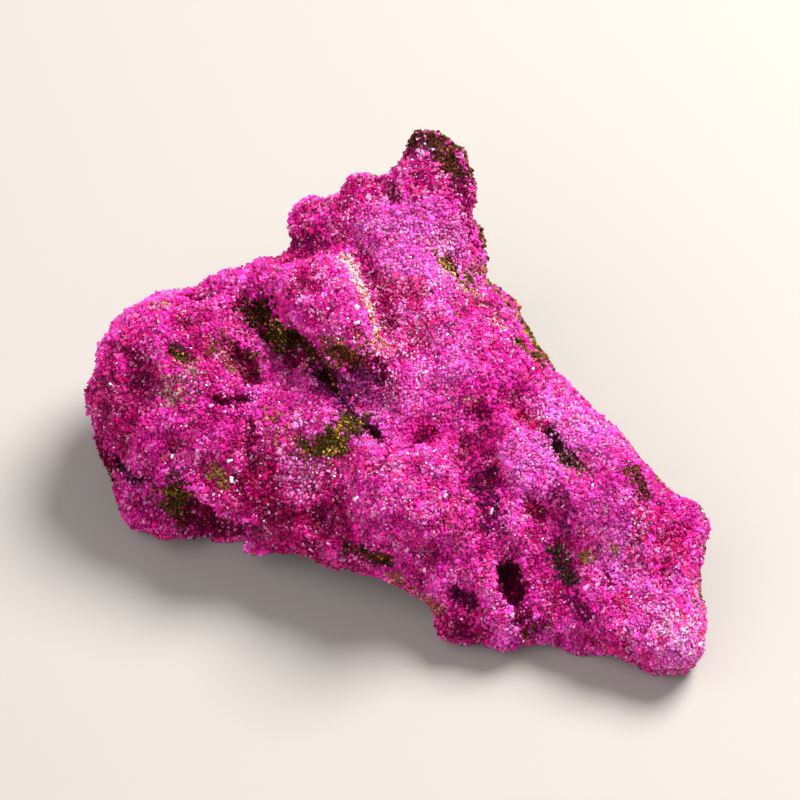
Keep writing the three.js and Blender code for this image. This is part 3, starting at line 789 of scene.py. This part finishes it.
def make_piece(
    name, points, triangles, tint, maps, materials, which=None, roughness=None, smooth=False
):
    """A mesh object from arrays: corners in millimetres, triangles, a colour for each corner, and a
    flat map for each triangle's three corners. It may also be given which of the materials each
    triangle has, and a roughness for each corner. A smooth piece is shaded as one surface."""
    mesh = bpy.data.meshes.new(name)
    mesh.vertices.add(len(points))
    mesh.vertices.foreach_set("co", (points * MM).astype(np.float32).ravel())
    mesh.loops.add(3 * len(triangles))
    mesh.loops.foreach_set("vertex_index", triangles.astype(np.int32).ravel())
    mesh.polygons.add(len(triangles))
    mesh.polygons.foreach_set("loop_start", np.arange(0, 3 * len(triangles), 3, dtype=np.int32))
    mesh.polygons.foreach_set("use_smooth", np.full(len(triangles), smooth))
    mesh.update(calc_edges=True)
    colour = mesh.attributes.new("tint", "FLOAT_COLOR", "POINT")
    whole = np.concatenate([np.clip(tint, 0, 1), np.ones((len(points), 1))], axis=1)
    colour.data.foreach_set("color", whole.astype(np.float32).ravel())
    if roughness is not None:
        rough = mesh.attributes.new("roughness", "FLOAT", "POINT")
        rough.data.foreach_set("value", roughness.astype(np.float32))
    flat = mesh.uv_layers.new(name="OFBake")
    flat.uv.foreach_set("vector", maps.astype(np.float32).ravel())
    for material in materials:
        mesh.materials.append(material)
    if which is not None:
        mesh.polygons.foreach_set("material_index", which.astype(np.int32))
    piece = bpy.data.objects.new(name, mesh)
    bpy.context.scene.collection.objects.link(piece)
    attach(piece, "root")
    return piece


# A crystal is a squat block: a three-cornered top, and a three-cornered foot turned by half a step.
TOP_ANGLES = np.radians([0, 120, 240])
FOOT_ANGLES = TOP_ANGLES + math.radians(60)
BLOCK_SIDES = np.array(
    [(0, 1, 2), (3, 5, 4), (0, 3, 1), (1, 4, 2), (2, 5, 0), (1, 3, 4), (2, 4, 5), (0, 5, 3)]
)
BLOCK_CORNERS = 6
MAP_RADII = 0.24, 0.42  # of the top and the foot in the block's cell of the flat map
NEARLY_UPRIGHT = 0.9
SHINY = 0.18  # crystals with a lower roughness have the brighter faces


def crystals(name, at, axis, radius, tall, taper, spin, tint, roughness):
    """Small blocks as one mesh. Each top corner is the middle, plus the taper times the radius
    round the axis, plus the height along it. Each foot corner is the same at the full radius,
    turned by sixty degrees, and the height the other way."""
    upright = np.abs(axis[:, 2:]) >= NEARLY_UPRIGHT
    side = unit(np.cross(axis, np.where(upright, SIDEWAYS, UP)))
    other = np.cross(axis, side)
    corners = []
    for angles, width, height in ((TOP_ANGLES, radius * taper, tall), (FOOT_ANGLES, radius, -tall)):
        for angle in angles:
            turn = spin + angle
            out = side * np.cos(turn)[:, None] + other * np.sin(turn)[:, None]
            corners.append(at + out * width[:, None] + axis * height[:, None])
    points = np.stack(corners, axis=1)
    points[..., 2] = np.maximum(points[..., 2], 0)
    number = np.arange(len(at))
    triangles = (BLOCK_SIDES + BLOCK_CORNERS * number[:, None, None]).reshape(-1, 3)
    across = math.ceil(math.sqrt(len(at)))
    cell = np.stack([number % across, number // across], axis=1) + 0.5
    ring = np.array([
        (map_radius * math.cos(angle), map_radius * math.sin(angle))
        for map_radius, angles in zip(MAP_RADII, (TOP_ANGLES, FOOT_ANGLES))
        for angle in angles
    ])
    flat = (cell[:, None, :] + ring) / across
    return make_piece(
        name,
        points.reshape(-1, 3),
        triangles,
        np.repeat(tint, BLOCK_CORNERS, axis=0),
        flat.reshape(-1, 2)[triangles],
        [CRYSTAL, GLINT],
        which=np.repeat(roughness < SHINY, len(BLOCK_SIDES)),
        roughness=np.repeat(roughness, BLOCK_CORNERS),
    )


# -------------------- the body


# the skin between the crystals is darker than the crust: painted shade between the grains
SKIN_SHADE = 0.60  # the skin's brightness between the crystals, against the crust's

points, ground, triangles, skin_maps = stone_skin()
normals = corner_normals(points, triangles)
hollow = hollowness(points, triangles, normals)
# the hollow's depth paints shade into the skin's hollows and light onto its knobs
skin_colour, _ = crust_colour(ground, normals, hollow)
body = make_piece(
    "stone_body", points, triangles, skin_colour * SKIN_SHADE, skin_maps, [SKIN], smooth=True
)
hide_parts("corundum_stone")


# -------------------- the crystals


MOST = 24_500  # crystals in one piece, to stay under 200,000 triangles
LAYERS = 4
SEED = 20
BASE_HEIGHT = 0.25  # facets lower than this, in mm, that face down are on the base
FACING_DOWN = -0.5  # a face is turned down where its normal's upward part is below this
ROCK_CHANCE = 0.75  # how likely host rock is to carry a grain, where crust is 1

# Sizes and places, in mm but for the shares and times.
RADIUS, RADIUS_SPREAD = 0.205, 0.26  # the middle one, and the spread of its logarithm
LEAN = 0.9  # the random part of the axis, where the normal's part is 1
LARGER_SHARE, LARGER_TIMES = 0.04, 1.5
ROCK_TIMES = 0.85  # host rock's grains against the crust's crystals
PALE_RADIUS = 0.20  # the most for pale, warm and golden crystals
TALL = 0.6, 1.2  # half the length over the radius
TAPER = 0.55, 1.0  # the top's radius over the foot's
LIFT, LIFT_SPREAD = 0.12, 0.12  # how far a crystal's middle lies above the skin

# Colours, and how rough the faces are. A kind is a random number from 0 to 1: pale and bright crystals are
# at its low end, and golden and warm ones at its high end. The pale crystals and the pale-pink haze, more
# where it is frosted on the lit faces, are partly painted sparkle.
CRUST_CONTRAST, ROCK_CONTRAST, CLUMP_CONTRAST = 0.33, 0.55, 0.8
MOST_FROST, MOST_CROWDED = 3, 3
CROWDED_CLOUDS = ((1.5, 1.5, 151, 1), (0.5, 0.8, 157, 1))
CLUMP = 1.1
MOSTLY_ROCK = 0.5
HAZE, FROST_HAZE = 0.30, 0.40
HAZE_RED = 0.10, 0.45  # a crystal less red than this has no haze, and a redder one has it all
PALE_CHANCE, FROST_CHANCE = 0.05, 0.060
PALE_VALUES = 0.7, 1.15
WARM_FROM, WARM_SHARE, RUST_CHANCE = 0.988, 0.6, 0.6
GOLDEN_FROM, GOLDEN_CLUMPS = 0.78, 0.25
OLIVE_GREEN = 0.5  # an olive crystal's green is more than this share of its red
DULL, DULL_SPREAD, ROCK_DULLER = 0.42, 0.12, 0.25
DULL_RANGE = 0.2, 0.8
BRIGHT, BRIGHT_CHANCE, FROST_BRIGHT = 0.08, 0.06, 0.10

# On each facet, a random place, and what the skin is like there.
draw = np.random.default_rng(SEED)
weights = draw.dirichlet((2, 2, 2), len(triangles))
spot, ground_spot = (
    np.einsum("tc,tcx->tx", weights, places[triangles]) for places in (points, ground)
)
around = unit(normals[triangles].sum(axis=1))
depth = hollow[triangles].mean(axis=1)
# the hollow's depth paints shade onto the crystals in hollows and light onto those on knobs
colour, rock = crust_colour(ground_spot, around, depth, draw)
stony = rock > MOSTLY_ROCK
# frost gives more pale crystals and pale haze on the lit faces, partly painted sparkle
frost = np.clip(zone_value(ground_spot, FROSTED), 0, MOST_FROST)
crowded = np.clip(mixed_clouds(ground_spot, CROWDED_CLOUDS, start=1), 0, MOST_CROWDED)
clumps = clouds(ground_spot, CLUMP, seed=163)

# Facets get a crystal by lot, the larger the likelier, but none where the stone rests.
area = np.linalg.norm(across_facets(points, triangles), axis=1) / 2
on_base = (spot[:, 2] < BASE_HEIGHT) & (around[:, 2] < FACING_DOWN)
chance = area * np.where(stony, ROCK_CHANCE, 1.0) * ~on_base
order = np.argsort(draw.random(len(triangles)) ** (1 / np.maximum(chance, TINY)))[::-1]
chosen = order[: LAYERS * MOST]


def crystal_shapes(pick):
    """For the picked facets: each crystal's middle, axis, radius, half length, taper and turn. The
    axis leans away from the normal at random, and sizes spread about the middle size."""
    count = len(pick)
    lean = unit(around[pick] + LEAN * unit(draw.normal(size=(count, 3))))
    radius = RADIUS * np.exp(RADIUS_SPREAD * draw.normal(size=count))
    radius[draw.random(count) < LARGER_SHARE] *= LARGER_TIMES
    radius *= np.where(stony[pick], ROCK_TIMES, 1.0)
    tall = radius * draw.uniform(*TALL, count)
    taper = draw.uniform(*TAPER, count)
    spin = draw.uniform(0, 2 * math.pi, count)
    lift = LIFT + LIFT_SPREAD * draw.normal(size=count)
    at = spot[pick] + around[pick] * lift[:, None]
    return at, lean, radius, tall, taper, spin


def crystal_looks(pick):
    """For the picked facets: each crystal's colour and roughness, and whether it is one of the pale, warm
    or golden kinds, which stay small. The colour is the crust's there, lighter or darker at random. A haze
    of pale pink goes over it, and a few crystals are wholly pale, rust, sand or gold-olive; the haze and
    the pale crystals, more where there is frost, are partly painted sparkle. Most faces are dull, and a
    share of them, more where there is frost, is bright."""
    count = len(pick)
    here_stony, here_frost, here_crowded = stony[pick], frost[pick], crowded[pick]
    contrast = np.where(here_stony, ROCK_CONTRAST, CRUST_CONTRAST)
    value = np.exp(contrast * draw.normal(size=count))[:, None]
    value[here_stony] *= np.exp(CLUMP_CONTRAST * clumps[pick][here_stony])[:, None]
    tint = colour[pick] * value
    haze = draw.random(count) ** 4 * (HAZE + FROST_HAZE * here_frost) * here_crowded
    haze *= smooth_step(*HAZE_RED, tint[:, 0])
    tint += (PALE_PINK - tint) * np.minimum(haze, 1)[:, None]
    kind = draw.random(count)
    pale = (kind < (PALE_CHANCE + FROST_CHANCE * here_frost) * here_crowded) & ~here_stony
    tint[pale] = PALE_PINK * draw.uniform(*PALE_VALUES, (pale.sum(), 1))
    warm = kind > WARM_FROM
    warm_tint = np.where(draw.random((warm.sum(), 1)) < RUST_CHANCE, RUST, SAND) * value[warm]
    tint[warm] += WARM_SHARE * (warm_tint - tint[warm])
    olive = tint[:, 1] > OLIVE_GREEN * tint[:, 0]
    golden = (kind > GOLDEN_FROM - GOLDEN_CLUMPS * clumps[pick]) & olive
    tint[golden] = GOLD_OLIVE * value[golden]
    roughness = np.clip(DULL + DULL_SPREAD * draw.normal(size=count), *DULL_RANGE)
    roughness[kind < BRIGHT_CHANCE + FROST_BRIGHT * np.clip(here_frost, 0, 1)] = BRIGHT
    roughness[here_stony] += ROCK_DULLER
    return tint, roughness, pale | warm | golden


def crust_layer(name, pick):
    """One crystal on each picked facet."""
    at, lean, radius, tall, taper, spin = crystal_shapes(pick)
    tint, roughness, small = crystal_looks(pick)
    radius[small] = np.minimum(radius[small], PALE_RADIUS)
    crystals(name, at, lean, radius, tall, taper, spin, tint, roughness)


for k in range(LAYERS):
    crust_layer("crystal_crust_%d" % (k + 1), chosen[k::LAYERS])

# Single crystals larger than the crust's: middle in mm, direction, radius, half length, colour and
# roughness. The near-white ones are painted glints, set where glints stand.
LARGE = [
    ((-15.2, -8.3, 17.7), (0.35, 0.70, 0.60), 0.42, 0.42, SOFT_PINK, 0.4),
    ((-14.7, -7.6, 18.0), (0.80, 0.30, 0.50), 0.38, 0.36, SOFT_PINK, 0.35),
    ((-13.3, -5.3, 19.5), (0.20, 0.80, 0.55), 0.40, 0.42, SOFT_PINK, 0.4),
    ((-13.0, -4.3, 20.1), (0.80, 0.20, 0.55), 0.42, 0.40, SOFT_PINK, 0.35),
    ((-5.1, 6.0, 30.2), (0.40, 0.10, 0.90), 0.48, 0.25, PAINTED_GLINT_WHITE, 0.15),
    ((-5.1, 3.6, 29.8), (0.95, 0.25, 0.10), 0.32, 0.38, PAINTED_GLINT_WHITE, 0.15),
    ((-21.6, -11.9, 16.2), (0.00, 0.75, 0.65), 0.32, 0.42, PAINTED_GLINT_WHITE, 0.12),
    ((-21.8, -10.1, 17.9), (0.98, 0.15, 0.10), 0.24, 0.38, PAINTED_GLINT_WHITE * 0.8, 0.2),
    ((-29.5, -8.2, 16.5), (0.30, 0.60, 0.70), 0.28, 0.25, PAINTED_GLINT_WHITE * 0.8, 0.2),
    ((-24.3, -3.4, 21.2), (0.80, 0.40, 0.40), 0.30, 0.30, PALE_PINK, 0.2),
    ((-5.1, -17.0, 18.6), (0.80, 0.10, 0.60), 0.34, 0.40, PAINTED_GLINT_WHITE * 0.8, 0.15),
    ((6.5, -17.8, 20.2), (0.40, 0.40, 0.80), 0.32, 0.25, PAINTED_GLINT_WHITE * 0.8, 0.15),
    ((12.6, -17.1, 16.1), (0.30, 0.85, 0.40), 0.22, 0.45, PAINTED_GLINT_WHITE * 0.6, 0.25),
    ((1.5, -22.4, 14.6), (0.80, 0.30, 0.50), 0.30, 0.32, PALE_PINK, 0.2),
    ((3.8, -22.7, 10.8), (0.20, 0.60, 0.70), 0.30, 0.30, PALE_PINK, 0.2),
    ((0.8, 29.9, 33.7), (0.30, 0.50, 0.80), 0.34, 0.25, PAINTED_GLINT_WHITE, 0.15),
    ((2.2, 28.2, 34.8), (0.50, 0.40, 0.75), 0.28, 0.22, PAINTED_GLINT_WHITE * 0.8, 0.2),
    ((15.3, -28.1, 8.2), (0.60, 0.40, 0.70), 0.28, 0.25, PAINTED_GLINT_WHITE * 0.7, 0.2),
    ((25.0, -25.4, 10.6), (0.70, 0.50, 0.40), 0.36, 0.48, PALE_PINK * 0.9, 0.3),
    ((26.4, -25.2, 10.9), (0.70, 0.50, 0.40), 0.28, 0.32, PALE_PINK * 0.9, 0.3),
]
LARGE_TAPER = 0.7

at, axis, radius, tall, tint, roughness = (np.array(column, float) for column in zip(*LARGE))
taper = np.full(len(LARGE), LARGE_TAPER)
spin = draw.uniform(0, 2 * math.pi, len(LARGE))
crystals("large_crystals", at, unit(axis), radius, tall, taper, spin, tint, roughness)


# -------------------- floor, light and camera


FLOOR_REACH = 1.5  # metres from the middle to each side
FLOOR_COLOUR = (0.40, 0.376, 0.352, 1)
FLOOR_ROUGHNESS = 0.7
STONE_MIDDLE = Vector((0, 0, 0.012))
WARM_WHITE = (1.0, 0.975, 0.95)
COOL_WHITE = (0.98, 0.97, 1.0)
ROOM_LIGHT = 0.31


def plain_floor():
    """A flat pale square far wider than the view."""
    reach = FLOOR_REACH
    corners = [(-reach, -reach, 0), (reach, -reach, 0), (reach, reach, 0), (-reach, reach, 0)]
    mesh = bpy.data.meshes.new("floor")
    mesh.from_pydata(corners, [], [(0, 1, 2, 3)])
    material = bpy.data.materials.new("pale_floor")
    material.use_nodes = True
    shader = material.node_tree.nodes["Principled BSDF"]
    shader.inputs["Base Color"].default_value = FLOOR_COLOUR
    shader.inputs["Roughness"].default_value = FLOOR_ROUGHNESS
    mesh.materials.append(material)
    floor = bpy.data.objects.new("floor", mesh)
    bpy.context.scene.collection.objects.link(floor)


def soft_light(name, place, size, power, colour):
    """A round lamp that points at the stone's middle: place and size in metres, power in watts."""
    lamp = bpy.data.lights.new(name, "AREA")
    lamp.shape = "DISK"
    lamp.size = size
    lamp.energy = power
    lamp.color = colour
    light = bpy.data.objects.new(name, lamp)
    light.location = place
    light.rotation_euler = (STONE_MIDDLE - Vector(place)).to_track_quat("-Z", "Y").to_euler()
    bpy.context.scene.collection.objects.link(light)


plain_floor()
soft_light("window", place=(0.40, 0.36, 0.66), size=0.50, power=15.8, colour=WARM_WHITE)
soft_light("fill", place=(-0.50, -0.40, 0.60), size=1.20, power=5.8, colour=COOL_WHITE)

scene = bpy.context.scene
scene.world = bpy.data.worlds.new("room")
scene.world.use_nodes = True
room = scene.world.node_tree.nodes["Background"]
room.inputs["Color"].default_value = (*WARM_WHITE, 1)
room.inputs["Strength"].default_value = ROOM_LIGHT
scene.view_settings.view_transform = "Standard"

# The frame's side and the focal length are in pixels. The close-up multiplies the focal length, so
# that the stone fills the frame.
LOOK_DOWN = math.radians(50)
AWAY = 0.536
TARGET = Vector((0.0006, 0.0036, 0.014))
FRAME_SIDE = 800
FOCAL_LENGTH = 1732
CLOSE_UP = 2.3

lens = bpy.data.cameras.new("camera")
lens.sensor_fit = "HORIZONTAL"
lens.angle = 2 * math.atan(FRAME_SIDE / 2 / (FOCAL_LENGTH * CLOSE_UP))
lens.clip_start = 0.01
camera = bpy.data.objects.new("camera", lens)
camera.location = TARGET + AWAY * Vector((0, -math.cos(LOOK_DOWN), math.sin(LOOK_DOWN)))
camera.rotation_euler = (math.pi / 2 - LOOK_DOWN, 0, 0)
scene.collection.objects.link(camera)
scene.camera = camera
